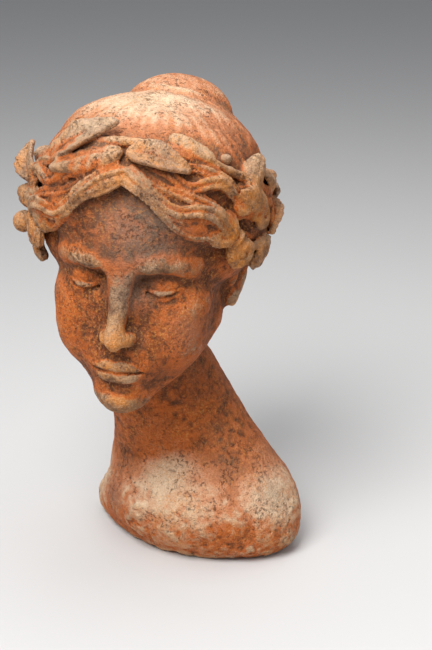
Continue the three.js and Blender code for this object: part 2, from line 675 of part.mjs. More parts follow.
// Merges the points of the flattest edges until the wanted number of facets is left. The underside stays flat:
// its rim moves only along itself and its centre not at all.
function thin({ points, faces }, wanted, careOf) {
  const around = points.map(() => new Set());
  const sums = points.map(() => new Array(10).fill(0));
  const version = points.map(() => 0);
  faces.forEach((face, f) => {
    const [a, b, c] = face.map((i) => points[i]);
    const n = normal(a, b, c);
    const area = Math.hypot(...n);
    const flat = times(n, 1 / Math.max(area, 1e-9));
    const plane = planeSums(flat, -dot(flat, a), area * careOf(a));
    for (const i of face) {
      around[i].add(f);
      sums[i] = add(sums[i], plane);
    }
  });
  const queue = new Queue();
  const onFloor = (i) => points[i][2] === 0;
  const offer = (u, v) => {
    if (u === 0 || v === 0) {
      return;
    }
    const q = add(sums[u], sums[v]);
    const half = times(add(points[u], points[v]), 0.5);
    let places = [half, points[u], points[v]];
    if (onFloor(u) !== onFloor(v)) {
      places = [onFloor(u) ? points[u] : points[v]];
    } else if (!onFloor(u)) {
      const best = nearestToPlanes(q);
      if (best && Math.hypot(...sub(best, half)) < 2 * Math.hypot(...sub(points[u], points[v]))) {
        places = [best];
      }
    }
    const length = Math.hypot(...sub(points[u], points[v]));
    const rated = places.map((place) => [offPlanes(q, place) + 1e-3 * length ** 2, place]);
    rated.sort((a, b) => a[0] - b[0]);
    queue.push([rated[0][0], u, v, rated[0][1], version[u] + version[v]]);
  };
  const neighbours = (i) => new Set([...around[i]].flatMap((f) => faces[f]).filter((j) => j !== i));
  const keepsForm = (i, other, place) => [...around[i]].every((f) => {
    if (faces[f].includes(other)) {
      return true;
    }
    const before = faces[f].map((j) => points[j]);
    const after = faces[f].map((j) => (j === i ? place : points[j]));
    const [m, n] = [normal(...before), normal(...after)];
    const longest = Math.max(...after.map((p, j) => Math.hypot(...sub(p, after[(j + 1) % 3]))));
    return dot(m, n) > 0.2 * Math.hypot(...m) * Math.hypot(...n) && Math.hypot(...n) > 0.04 * longest ** 2;
  });
  for (const [a, b, c] of faces) {
    for (const [u, v] of [[a, b], [b, c], [c, a]]) {
      if (u < v) {
        offer(u, v);
      }
    }
  }
  let left = faces.length;
  while (left > wanted && queue.items.length) {
    const [, u, v, place, stamp] = queue.pop();
    if (!around[u].size || !around[v].size || stamp !== version[u] + version[v]) {
      continue;
    }
    const [near, far] = [neighbours(u), neighbours(v)];
    const shared = [...near].filter((i) => far.has(i));
    if (!near.has(v) || shared.length !== 2 || !keepsForm(u, v, place) || !keepsForm(v, u, place)) {
      continue;
    }
    for (const f of around[v]) {
      if (faces[f].includes(u)) {
        for (const i of faces[f]) {
          if (i !== v) {
            around[i].delete(f);
          }
        }
        left -= 1;
      } else {
        faces[f] = faces[f].map((i) => (i === v ? u : i));
        around[u].add(f);
      }
    }
    around[v].clear();
    sums[u] = add(sums[u], sums[v]);
    points[u] = place;
    version[u] += 1 + version[v];
    for (const i of neighbours(u)) {
      offer(Math.min(u, i), Math.max(u, i));
    }
  }
  const used = points.map((_, i) => i).filter((i) => around[i].size);
  const renamed = new Map(used.map((i, n) => [i, n]));
  const kept = [...new Set(used.flatMap((i) => [...around[i]]))];
  return { points: used.map((i) => points[i]), faces: kept.map((f) => faces[f].map((i) => renamed.get(i))) };
}

// The face is worth finer facets than the hair, the neck and the foot.
function careAt(point) {
  const turn = headTurn();
  const local = inward(turn, times(sub(point, HEAD_AT), 1 / HEAD_SIZE));
  return local[1] < -48 && local[2] > -85 && local[2] < 30 ? FACE_CARE : 1;
}

function bust() {
  const { points, faces } = thin(closeNet(modelFigure()), FACETS, careAt);
  const geometry = new THREE.BufferGeometry();
  geometry.setAttribute('position', new THREE.Float32BufferAttribute(points.flat().map((v) => v * UNIT), 3));
  geometry.setIndex(faces.flat());
  geometry.computeVertexNormals();
  const mesh = new THREE.Mesh(geometry, new THREE.MeshStandardMaterial(RUST));
  mesh.name = 'bust';
  return mesh;
}

const statue = new THREE.Group();
statue.name = 'garden_statue_bust';
statue.add(bust());

export default statue;
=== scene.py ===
import math

import bpy
import numpy as np
import openvdb
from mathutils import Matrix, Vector


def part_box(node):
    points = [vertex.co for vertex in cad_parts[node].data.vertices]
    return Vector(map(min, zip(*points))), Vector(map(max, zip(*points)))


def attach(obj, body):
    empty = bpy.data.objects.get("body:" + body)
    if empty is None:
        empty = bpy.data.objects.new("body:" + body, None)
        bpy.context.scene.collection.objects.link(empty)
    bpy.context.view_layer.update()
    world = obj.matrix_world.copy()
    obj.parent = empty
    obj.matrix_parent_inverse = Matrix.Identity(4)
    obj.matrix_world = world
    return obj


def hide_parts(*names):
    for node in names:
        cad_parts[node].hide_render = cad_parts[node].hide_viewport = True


# The bust is drawn in a block of clay, by soft joins and cuts in order, as the solid is. The drawing is in
# millimetres at DRAWN_HEIGHT, the height of its frame, and scales with HEIGHT.
DRAWN_HEIGHT = 340.0
HEIGHT = 340.0
UNIT = HEIGHT / DRAWN_HEIGHT
HEAD_AT = np.array([-17.0, -36.0, 226.0])
HEAD_SIZE = 0.95
HEAD_LEFT, HEAD_BOW, HEAD_LEAN = 18.0, 3.0, 3.0
HAIR_CENTRE = np.array([0.0, 6.0, 24.0])
HAIR_RADII = np.array([79.0, 91.0, 80.0])
HAIR_SQUARE = 2.6
KNOT_AT = np.array([4.0, 60.0, 79.0])
KNOT_RADII = (40, 34, 29)
KNOT_AXIS, KNOT_LEVEL = np.array([0.0, 0.5, 0.866]), np.array([0.0, 0.866, -0.5])
EDGE_HEIGHT, EDGE_SLOPE = 14, 0.86
FOOT_AT, FOOT_RADII, FOOT_LEAN = (-3, 0, 24), (81, 43, 28), -7
BASE_AT, BASE_RADII = (1, -1, 14), (77, 42, 26)
CHEST_AT, CHEST_RADII = (-1, -11, 32), (64, 49, 38)

CLAY_LOW = (-110, -136, -6)
CLAY_HIGH = (90, 72, 346)
CLAY_CELL = 1.05
MOST_TRIANGLES = 196000
FAR = 60.0
WHOLE = 400
SIDES = (-1, 1)


# Shapes. Each is a list of parts (centre, reach, distance), and distance is negative inside.

def spin(axis, degrees):
    c, s = math.cos(math.radians(degrees)), math.sin(math.radians(degrees))
    i, j = {"x": (1, 2), "y": (2, 0), "z": (0, 1)}[axis]
    rows = np.eye(3)
    rows[i, i], rows[i, j], rows[j, i], rows[j, j] = c, -s, s, c
    return rows


HEAD_TURN = spin("z", HEAD_LEFT) @ spin("x", HEAD_BOW) @ spin("y", HEAD_LEAN)


def soft_min(a, b, k):
    h = np.maximum(k - np.abs(a - b), 0) / k
    return np.minimum(a, b) - h * h * k / 4


def soft_max(a, b, k):
    return -soft_min(-a, -b, k)


def egg(centre, radii, turn=None):
    """An ellipsoid; turn holds its own axes as columns."""
    centre, radii = np.array(centre, float), np.array(radii, float)

    def distance(x, y, z):
        x, y, z = x - centre[0], y - centre[1], z - centre[2]
        if turn is not None:
            x, y, z = (x * turn[0, i] + y * turn[1, i] + z * turn[2, i] for i in range(3))
        x, y, z = x / radii[0], y / radii[1], z / radii[2]
        near = np.sqrt(x * x + y * y + z * z)
        steep = np.sqrt((x / radii[0]) ** 2 + (y / radii[1]) ** 2 + (z / radii[2]) ** 2)
        return near * (near - 1) / np.maximum(steep, 1e-6)

    return [(centre, radii.max(), distance)]


def rod(a, b, ra, rb):
    """A rod with round ends whose radius runs from ra to rb."""
    a, b = np.array(a, float), np.array(b, float)
    run = b - a

    def distance(x, y, z):
        x, y, z = x - a[0], y - a[1], z - a[2]
        t = np.clip((x * run[0] + y * run[1] + z * run[2]) / (run @ run), 0, 1)
        off = np.sqrt((x - t * run[0]) ** 2 + (y - t * run[1]) ** 2 + (z - t * run[2]) ** 2)
        return off - (ra + (rb - ra) * t)

    return [((a + b) / 2, np.linalg.norm(run) / 2 + max(ra, rb), distance)]


def smooth_curve(rows, count):
    """Points along a smooth curve through rows of numbers."""
    p = np.array(rows, float)
    p = np.vstack([2 * p[0] - p[1], p, 2 * p[-1] - p[-2]])
    t = np.linspace(0, len(p) - 3 - 1e-9, count)
    i = t.astype(int)
    f = (t - i)[:, None]
    a, b, c, d = p[i], p[i + 1], p[i + 2], p[i + 3]
    square, cube = 2 * a - 5 * b + 4 * c - d, 3 * b - a - 3 * c + d
    return 0.5 * (2 * b + (c - a) * f + square * f ** 2 + cube * f ** 3)


def lock(route, core, flat, strands, depth, twist, count):
    """A tapering lock of hair. Rows of the route are x, y, z, radius; its back faces the core.

    flat is its thickness as a share of its width, depth that of its grooves as a share of its radius.
    """
    rows = smooth_curve(route, count)
    line, radius = rows[:, :3], rows[:, 3]

    def part(i):
        a, run = line[i], line[i + 1] - line[i]
        length = np.linalg.norm(run)
        along = run / length
        out = line[i] + run / 2 - core
        out = out - (out @ along) * along
        out = out / np.linalg.norm(out)
        side = np.cross(along, out)

        def distance(x, y, z):
            px, py, pz = x - a[0], y - a[1], z - a[2]
            t = np.clip((px * run[0] + py * run[1] + pz * run[2]) / length ** 2, 0, 1)
            qx, qy, qz = px - t * run[0], py - t * run[1], pz - t * run[2]
            r = radius[i] + (radius[i + 1] - radius[i]) * t
            u = qx * side[0] + qy * side[1] + qz * side[2]
            v = (qx * out[0] + qy * out[1] + qz * out[2]) / flat
            w = qx * along[0] + qy * along[1] + qz * along[2]
            angle = strands * np.arctan2(v, u) / 2 + twist * np.pi * (i + t) / (count - 1)
            near = np.sqrt(u * u + v * v + w * w)
            fine = 0.7 * np.abs(np.sin(2.7 * angle + 0.4)) - 0.4
            return (near - r * (1 - depth) - depth * r * np.abs(np.sin(angle)) - fine) * flat ** 0.5

        return a + run / 2, length / 2 + max(radius[i], radius[i + 1]) + 3, distance

    return [part(i) for i in range(count - 1)]


def leaf(base, tip, face, width, bend, cup, thick):
    """A pointed leaf from base to tip, arched along by bend and across by cup; face is the way that it looks."""
    run = tip - base
    length = np.linalg.norm(run)
    along = run / length
    out = face - (face @ along) * along
    out = out / np.linalg.norm(out)
    side = np.cross(along, out)

    def distance(x, y, z):
        x, y, z = x - base[0], y - base[1], z - base[2]
        t = (x * along[0] + y * along[1] + z * along[2]) / length
        u = x * side[0] + y * side[1] + z * side[2]
        v = x * out[0] + y * out[1] + z * out[2]
        s = np.clip(t, 0, 1)
        half = width / 2 * np.maximum(np.sin(np.pi * s ** 0.8), 0) ** 0.75 + 0.6
        across = u / (width / 2)
        middle = bend * 4 * s * (1 - s) + cup * across ** 2
        vein = 0.35 * np.cos(2 * np.pi * (s * 5.5 - np.abs(across) * 0.9)) * np.minimum(np.abs(across) * 3, 1)
        rib = np.where(v > middle, 0.9 * np.exp(-(u / 1.3) ** 2) + vein, 0)
        body = thick * (1 - 0.35 * np.minimum(across ** 2, 1)) - rib
        blade = soft_max(np.abs(v - middle) - body, (np.abs(u) - half) * 0.85, 1.2)
        return soft_max(blade, (np.abs(t - 0.5) - 0.5) * length, 1.2)

    return [((base + tip) / 2, length / 2 + width / 2 + abs(bend) + abs(cup), distance)]


class Clay:
    """Distances to the surface on a grid of cubes. place() sets the frame of the shapes that follow."""

    def __init__(self, low, high, cell):
        self.low, self.cell = np.array(low, float), cell
        self.axes = [np.arange(a, b, cell, dtype=np.float32) for a, b in zip(low, high)]
        self.values = np.full([len(a) for a in self.axes], FAR, np.float32)

    def place(self, origin=(0, 0, 0), turn=np.eye(3), scale=1.0):
        self.origin, self.turn, self.scale = np.array(origin, float), turn.astype(np.float32), scale

    def put(self, shape, k, join):
        own, low, high = np.full(self.values.shape, FAR, np.float32), [], []
        for centre, reach, distance in shape:
            middle = self.turn @ centre * self.scale + self.origin
            reach = (reach + k) * self.scale + 2.5 * self.cell
            ends = [np.searchsorted(a, [m - reach, m + reach]) for a, m in zip(self.axes, middle)]
            cut = tuple(slice(*e) for e in ends)
            x, y, z = ((a[c] - o) / self.scale for a, c, o in zip(self.axes, cut, self.origin))
            x, y, z, r = x[:, None, None], y[None, :, None], z[None, None, :], self.turn
            local = [x * r[0, i] + y * r[1, i] + z * r[2, i] for i in range(3)]
            own[cut] = np.minimum(own[cut], distance(*local) * self.scale)
            low, high = low + [[e[0] for e in ends]], high + [[e[1] for e in ends]]
        cut = tuple(slice(a, b) for a, b in zip(np.min(low, 0), np.max(high, 0)))
        self.values[cut] = join(self.values[cut], own[cut], k * self.scale)

    def add(self, shape, k):
        self.put(shape, k, soft_min)

    def cut(self, shape, k):
        self.put(shape, k, lambda a, b, soft: soft_max(a, -b, soft))

    def rope(self, rows, k, join=None):
        """Rods with round ends through rows of x, y, z, radius."""
        points = smooth_curve(rows, 3 * len(rows) - 2)
        for a, b in zip(points[:-1], points[1:]):
            (join or self.add)(rod(a[:3], b[:3], a[3], b[3]), k)

    def skin(self):
        grid = openvdb.FloatGrid(FAR)
        grid.copyFromArray(self.values)
        points, _, quads = grid.convertToPolygons()
        return points * self.cell + self.low, quads[:, ::-1]


# The figure.

def mirror(rows, side, at=(0, 0)):
    """Rows of x, y, z, radius, counted from at, on her left for side 1 and on her right for -1."""
    return [(side * (at[0] + x), at[1] + y, z, r) for x, y, z, r in rows]


def model_skull(clay):
    clay.add(egg((0, 6, 22), (62, 78, 73)), 1)
    clay.add(egg((0, -30, 30), (53, 50, 46)), 14)
    clay.add(egg((0, -24, -26), (53, 54, 66)), 14)
    for s in SIDES:
        clay.add(egg((s * 34, -47, -18), (18, 20, 14)), 14)
        clay.add(rod((s * 41, -6, -44), (s * 9, -62, -80), 13, 12), 18)
        clay.add(egg((s * 28, -50, -42), (22, 22, 24)), 16)
    clay.add(egg((0, -69, -82), (15, 15, 14)), 10)
    clay.add(egg((0, -65, -54), (25, 20, 22)), 12)


EYE_AT, EYE_RADII = (25, -60, 0), (13.5, 11.5, 11.5)
BROW = [(9, -70, 11, 3), (18, -69.5, 14.5, 3.4), (30, -64, 16.5, 3.4), (43, -52, 11, 3)]
# Counted from the middle of the eye.
UPPER_LID = [(-13.5, -4, -3, 0.9), (-7, -9.8, -4, 1.5), (0, -11.6, -5, 1.7), (7, -9.8, -4.6, 1.5), (14, -3, -2.6, 1.1)]
LOWER_LID = [(-12, -4.5, -4.5, 1), (-6, -8.6, -7.4, 1.3), (1, -9.7, -8.8, 1.4), (8, -7.6, -7.6, 1.3), (14, -2.6, -4, 1)]
LASH_LINE = [(-11.5, -6.5, -4.4, 0.6), (-6, -11.5, -6.2, 1), (1, -12.8, -7.4, 1.1), (7, -10.6, -6.6, 1),
             (12.5, -5.5, -4.2, 0.6)]
LID_FOLD = [(-12, -8, 2.5, 0.7), (-6, -11.8, 6, 1), (2, -12.6, 7.6, 1.1), (10, -8.8, 5, 0.8), (14, -5, 1.5, 0.6)]


def model_eyes(clay):
    """Brow, socket, ball and lowered lids of each eye."""
    for s in SIDES:
        clay.rope(mirror(BROW, s), 13)
        clay.cut(egg((s * 26, -84, 1), (15.5, 15.5, 8.5)), 9)
        clay.cut(egg((s * 14, -81, 2), (4.5, 10, 6.5)), 7)
        clay.add(egg((s * EYE_AT[0], EYE_AT[1], EYE_AT[2]), EYE_RADII), 2.5)
        for rows, k, join in ((UPPER_LID, 1.2, clay.add), (LOWER_LID, 2, clay.add),
                              (LASH_LINE, 0.8, clay.cut), (LID_FOLD, 1.6, clay.cut)):
            clay.rope(mirror(rows, s, EYE_AT), k, join)


def model_nose(clay):
    clay.add(rod((0, -73, 14), (0, -88, -28), 5.2, 6), 12)
    clay.add(egg((0, -90.5, -33.5), (6.6, 8.2, 6.2)), 6)
    for s in SIDES:
        clay.add(egg((s * 7.8, -82, -35.5), (4.4, 7.4, 5)), 5)
        clay.cut(egg((s * 4.8, -87, -41.5), (2.6, 4.2, 2.2)), 1.6)
    clay.add(rod((0, -92, -38), (0, -84, -42), 2.4, 2.8), 3)


UPPER_LIP = [(1, -84.8, -55.6, 2.4), (5, -84.7, -54.8, 2.8), (10, -82.2, -56.4, 2.4), (16, -77.6, -59.6, 1.2)]
LOWER_LIP = [(0, -83.2, -63.4, 3.6), (6, -82.4, -63.4, 3.5), (11, -79.8, -62.6, 2.6), (15.6, -77, -60.6, 1.2)]
LIP_LINE = [(0, -88.6, -59.6, 1), (5, -88, -59, 1), (11, -84.2, -59.6, 1), (17, -78.6, -60.6, 0.8)]


def model_mouth(clay):
    clay.cut(rod((0, -88, -44), (0, -90, -51), 1.6, 2.2), 3)
    for s in SIDES:
        clay.rope(mirror(UPPER_LIP, s), 3)
        clay.rope(mirror(LOWER_LIP, s), 3)
    clay.add(egg((0, -85.4, -56.8), (3.4, 2.6, 2.2)), 2)
    for s in SIDES:
        clay.rope(mirror(LIP_LINE, s), 1.2, clay.cut)
    clay.cut(egg((0, -91, -73.5), (11, 7, 3.4)), 8)


def model_ears(clay):
    for s in SIDES:
        turn = spin("x", -12) @ spin("z", s * -25)
        clay.add(egg((s * 52, 10, -18), (11, 15, 27)), 6)
        clay.add(egg((s * 61, 12, -13), (5, 13, 25), turn), 4)
        clay.cut(egg((s * 67, 9, -10), (5, 6.5, 14), turn), 3)
        clay.add(egg((s * 60, 4, -34), (4.5, 6, 7)), 4)
        clay.add(egg((s * 61, -1, -16), (3.5, 4, 6)), 3)


def off_hair(x, y, z):
    """How far off the hair's round a place is: an egg below its middle, with squarer shoulders above it."""
    u, v, w = ((value - HAIR_CENTRE[i]) / HAIR_RADII[i] for i, value in enumerate((x, y, z)))
    power = np.where(w > 0, HAIR_SQUARE, 2.0)
    level = np.maximum(np.sqrt(u * u + v * v), 1e-6)
    near = (level ** power + np.abs(w) ** power) ** (1 / power)
    share = (level / near) ** (power - 1) / level
    steep = np.sqrt((share * u / HAIR_RADII[0]) ** 2 + (share * v / HAIR_RADII[1]) ** 2
                    + ((np.abs(w) / near) ** (power - 1) / HAIR_RADII[2]) ** 2)
    return (near - 1) / steep


def on_hair(azimuth, height, lift=0.0):
    """A point on the hair's round, or lifted off it: azimuth from the face to her left, height from the ear line."""
    a, h = math.radians(azimuth), math.radians(height)
    way, far = np.array([math.sin(a) * math.cos(h), -math.cos(a) * math.cos(h), math.sin(h)]), 80.0
    for _ in range(8):
        far -= float(off_hair(*(way * far)))
    return way * (far + lift)


def model_cap(clay):
    """The combed hair: wandering strands fan out from the knot, and a slanting plane from brow to nape ends it."""
    def distance(x, y, z):
        below = (EDGE_HEIGHT - EDGE_SLOPE * y - z) / math.hypot(1, EDGE_SLOPE)
        fan = np.arctan2(x, -((y - KNOT_AT[1]) * 0.89 + (z - KNOT_AT[2]) * 0.45))
        fan = fan + 0.05 * np.sin(0.07 * y + 2 * fan) + 0.03 * np.sin(0.13 * z + 5 * fan)
        strands = 0.3 * np.abs(np.sin(6.5 * fan + 0.3)) + 0.22 * np.sin(23 * fan) + 0.2 * np.sin(61 * fan + 1) - 0.4
        strands = strands + 0.8 * np.sin(0.13 * y + 0.1 * z + 3 * fan)
        return soft_max(off_hair(x, y, z) - strands, below, 6)

    clay.add([(HAIR_CENTRE, 96, distance)], 5)
    for s in SIDES:
        clay.add(egg((s * (HAIR_RADII[0] - 25), 8, 23), (26, 41, 37)), 10)
        clay.add(egg((s * 50, -14, 10), (19, 28, 22)), 10)
        clay.add(egg((s * 30, -48, 52), (34, 26, 20), spin("y", s * 32)), 10)


def model_knot(clay):
    """The knot: a round with one thick coil wound about its axis."""
    clay.add(egg(KNOT_AT, KNOT_RADII), 3)
    coil = []
    for turn in np.linspace(0, 1.6, 15):
        a, ring = 2 * math.pi * turn, KNOT_RADII[0] - 9 - 14 * turn
        at = KNOT_AT + np.array([ring * math.sin(a), 0, 0]) + KNOT_LEVEL * ring * math.cos(a)
        coil.append((*(at + KNOT_AXIS * (2 + 9 * turn)), 11.5 - 2 * turn))
    clay.add(lock(coil, KNOT_AT - KNOT_AXIS * 30, 0.85, 5, 0.16, 3, 38), 2.5)


# Waved locks on either side, and their mean radius.
LOCKS, LOCK_RADIUS = 7, 6
# Snail curls of either side, and one more on her right: azimuth, height, ring, thickness, lift.
CURLS = [(50, 24, 10, 6, 3), (64, 12, 11, 6, 5), (80, 24, 10, 6, 6), (86, 6, 11, 6, 6), (102, 0, 10, 5.5, 6),
         (106, 15, 11, 6, 5), (124, 2, 10, 5.5, 3), (66, 33, 9, 5.5, 5)]
RIGHT_CURL = (74, -3, 9, 6, 5)
CURL_TURNS = 1.25


def model_locks(clay):
    for s in SIDES:
        for n in range(LOCKS):
            waves = 2.2 + 0.4 * math.sin(1.7 * n + 1)
            lift = 0.3 + 1.9 * math.sin(1.9 * n - 0.6)
            route = []
            for t in np.linspace(0, 1, 15):
                swell = math.sin(2 * math.pi * (waves * t + 0.12 * s + 0.3 * n))
                wave = (3 + 1.2 * math.sin(2.1 * n)) * swell * min(4 * t, 1)
                height = (44 + 2.4 * n) * (1 - t) + (6 * n - 13) * t + wave
                off = (lift + 2.2 * swell) * min(3 * t, 1)
                full = 0.55 + 0.45 * math.sin(math.pi * min(t * 1.3 + 0.12, 1) ** 0.8)
                radius = (LOCK_RADIUS - 1.2 * math.cos(2.6 * n)) * full * (1 + 0.12 * swell)
                first, last = 1 + 2 * n, 114 + 3 * n
                route.append((*on_hair(s * (first + (last - first) * t), height, off), radius))
            clay.add(lock(route, (0, 10, 20), 0.68, 6, 0.44, 1.6 * s + 0.3 * n, 38), 0.8)


def model_curls(clay):
    for s in SIDES:
        curls = CURLS + [RIGHT_CURL] if s < 0 else CURLS
        for n, (azimuth, height, ring, thick, lift) in enumerate(curls):
            middle = on_hair(s * azimuth, height, lift)
            out = (middle - HAIR_CENTRE) / np.linalg.norm(middle - HAIR_CENTRE)
            side = np.cross((0, 0, 1), out)
            side = side / np.linalg.norm(side)
            up = np.cross(out, side)
            way, route = s * (1 if n % 2 else -1), []
            for t in np.linspace(0, 1, 11):
                a, r = way * 2 * CURL_TURNS * math.pi * t + 0.9 * n + s, ring * (1 - 0.72 * t)
                at = middle + side * r * math.cos(a) + up * r * math.sin(a) + out * (3 * t - 3)
                route.append((*at, thick * (1 - 0.35 * t)))
            clay.add(lock(route, middle - out * 30, 0.7, 6, 0.4, 1, 24), 0.8)


# Leaves: azimuth and height of base and tip, lift of both, width, lean of the face upward.
FRONT_LEAVES = [
    (0, 53, 34, 46, 5, 7, 20, 18), (26, 61, 50, 49, 3, 5, 16, 22), (-2, 53, -42, 41, 5, 7, 20, 18),
    (-48, 45, -10, 63, 3, 11, 22, 10), (68, 37, 90, 45, 5, 7, 18, 10), (84, 25, 60, 37, 5, 9, 20, -16),
    (-64, 32, -84, 41, 6, 12, 19, 14), (-62, 25, -86, 19, 4, 14, 18, -14),
]
BACK_LEAVES = [
    (112, 28, 88, 37, 2, 7, 18, 12), (118, 20, 96, 10, 2, 7, 18, -12), (138, 14, 112, 24, 2, 10, 19, 12),
    (146, 8, 122, -4, 2, 9, 18, -12), (164, 4, 138, 12, 2, 9, 18, 12), (170, -2, 148, -12, 1, 7, 16, -12),
]
# Round berries: azimuth, height, lift, radius.
BERRIES = [(-82, 8, 12, 8), (62, 50, 1, 4), (108, 32, 4, 5), (-108, 32, 4, 5), (132, 16, 7, 5), (-132, 16, 7, 5),
           (158, 4, 5, 5), (-158, 4, 5, 5)]
STEM_RADIUS = 3.4
LEAF_BEND, LEAF_THICK = 3.5, 2.6


def model_wreath(clay):
    azimuths = np.linspace(-172, 172, 44)
    stem = [on_hair(a, np.interp(math.cos(math.radians(a)), [-1, 0, 1], [-2, 33, 58]), 2) for a in azimuths]
    for a, b in zip(stem[:-1], stem[1:]):
        clay.add(rod(a, b, STEM_RADIUS, STEM_RADIUS), 1.5)
    mirrored = [(s * a, h, s * a2, *rest) for s in SIDES for a, h, a2, *rest in BACK_LEAVES]
    for n, (a, h, a2, h2, low, high, width, lean) in enumerate(FRONT_LEAVES + mirrored):
        base, tip = on_hair(a, h, low), on_hair(a2, h2, high)
        face = (base + tip) / 2 - HAIR_CENTRE
        face = face / np.linalg.norm(face) * 40 + np.array([0, 0, lean])
        clay.add(leaf(base, tip, face, width, LEAF_BEND, -4.5 if n % 3 else 4, LEAF_THICK), 1.5)
    for a, h, lift, r in BERRIES:
        clay.add(egg(on_hair(a, h, lift), (r, r, r)), 1.2)


def model_neck(clay):
    clay.add(rod((-23, 7, 66), (-28, -32, 168), 38, 34), 14)
    clay.add(rod((-17, -2, 114), (34, 6, 38), 28, 34), 24)
    clay.add(rod((-19, -10, 106), (-46, 4, 48), 27, 27), 20)


def model_foot(clay):
    clay.add(egg(FOOT_AT, FOOT_RADII, spin("y", FOOT_LEAN)), 16)
    clay.add(egg(BASE_AT, BASE_RADII), 16)
    clay.add(egg(CHEST_AT, CHEST_RADII), 14)


def drift(shape, cell, size, seed):
    """Soft random numbers from -1 to 1 on the clay's grid, that change over size millimetres."""
    counts = [int(n * cell / size) + 4 for n in shape]
    values = np.random.RandomState(seed).uniform(-1, 1, counts).astype(np.float32)
    for axis, n in enumerate(shape):
        at = np.arange(n) * cell / size
        i = at.astype(int)
        f = (at - i).astype(np.float32)
        f = (f * f * (3 - 2 * f)).reshape([-1 if a == axis else 1 for a in range(3)])
        values = np.take(values, i, axis) * (1 - f) + np.take(values, i + 1, axis) * f
    return values


def weather(clay):
    """The rough skin of an old casting: shallow swells and eaten spots, rougher toward the foot."""
    shape, cell = clay.values.shape, clay.cell
    z = clay.axes[2][None, None, :]
    rough = 0.7 + 1.1 * np.clip((60 - z) / 40, 0, 1)
    swells = 0.6 * drift(shape, cell, 15, 1) + 0.5 * drift(shape, cell, 6.5, 2)
    spots = np.maximum(drift(shape, cell, 4.2, 3) + 0.5 * drift(shape, cell, 9, 4) - 0.35, 0)
    grain = 0.3 * drift(shape, cell, 2.6, 5)
    clay.values += rough * (swells * 0.8 + grain + 0.9 * spots + 0.25)


def sculpt():
    clay = Clay(CLAY_LOW, CLAY_HIGH, CLAY_CELL)
    clay.place(HEAD_AT, HEAD_TURN, HEAD_SIZE)
    model_skull(clay)
    clay.place()
    model_neck(clay)
    clay.place(HEAD_AT, HEAD_TURN, HEAD_SIZE)
    model_eyes(clay)
    model_nose(clay)
    model_mouth(clay)
    model_ears(clay)
    model_cap(clay)
    model_knot(clay)
    model_locks(clay)
    model_curls(clay)
    model_wreath(clay)
    clay.place()
    model_foot(clay)
    weather(clay)
    clay.cut([(np.zeros(3), WHOLE, lambda x, y, z: z + 0 * x + 0 * y)], 2)
    return clay


def blurred(values, reach, cell):
    """The average over cubes of half-width reach, taken twice, which is close to a soft round."""
    r = max(int(round(reach / cell)), 1)
    for _ in range(2):
        for axis in range(3):
            pad = [(r + 1, r) if a == axis else (0, 0) for a in range(3)]
            sums = np.cumsum(np.pad(values, pad, mode="edge"), axis=axis, dtype=np.float32)
            n = values.shape[axis]
            high = np.take(sums, np.arange(2 * r + 1, 2 * r + 1 + n), axis)
            values = (high - np.take(sums, np.arange(n), axis)) / (2 * r + 1)
    return values


def read(values, clay, points):
    """The grid's values at points, between the cubes' corners."""
    at = (points - clay.low) / clay.cell
    at = np.clip(at, 0, np.array(values.shape) - 1.001)
    i = at.astype(int)
    f = at - i
    total = 0
    for corner in np.ndindex(2, 2, 2):
        weight = np.prod(np.where(corner, f, 1 - f), axis=1)
        total = total + values[tuple((i + corner).T)] * weight
    return total


# Zones of the patina, with painted light in the pale ones: centre, reach and strength.
WORN = [((32, -93, 304), 20, 0.6), ((-14, -99, 318), 22, 0.5), ((-71, -91, 290), 18, 0.5), ((18, -103, 259), 42, 1),
        ((16, -108, 222), 26, 0.8), ((42, -84, 190), 24, 0.5), ((12, -68, 106), 30, 0.4), ((-42, -42, 34), 22, 0.7),
        ((66, -10, 46), 22, 0.5)]
# Pale zones: partly paler patina and partly painted light, brightening the cap top and the bust, where the head's
# shadow falls on the chest.
PALE_AND_LIT = [((-18, -34, 312), 86, 1), ((0, -46, 64), 50, 1), ((5, -38, 34), 80, 0.9), ((-66, -10, 34), 60, 1),
        ((60, -8, 40), 56, 0.9)]
ORANGE = [((-30, -42, 70), 34, 0.7), ((-36, -36, 92), 26, 0.8), ((20, -40, 50), 40, 0.5), ((65, -59, 246), 34, 0.9),
          ((58, -60, 222), 24, 0.7), ((-28, -112, 258), 34, 0.7), ((0, -100, 285), 30, 0.4), ((-10, -80, 200), 26, 0.4)]


def zone(spots, places):
    """Soft round spots, the strongest of them at each place."""
    best = np.zeros(len(places))
    for centre, reach, strength in spots:
        far = np.clip(np.linalg.norm(places - centre, axis=1) / reach, 0, 1)
        best = np.maximum(best, strength * (1 - far * far * (3 - 2 * far)))
    return best


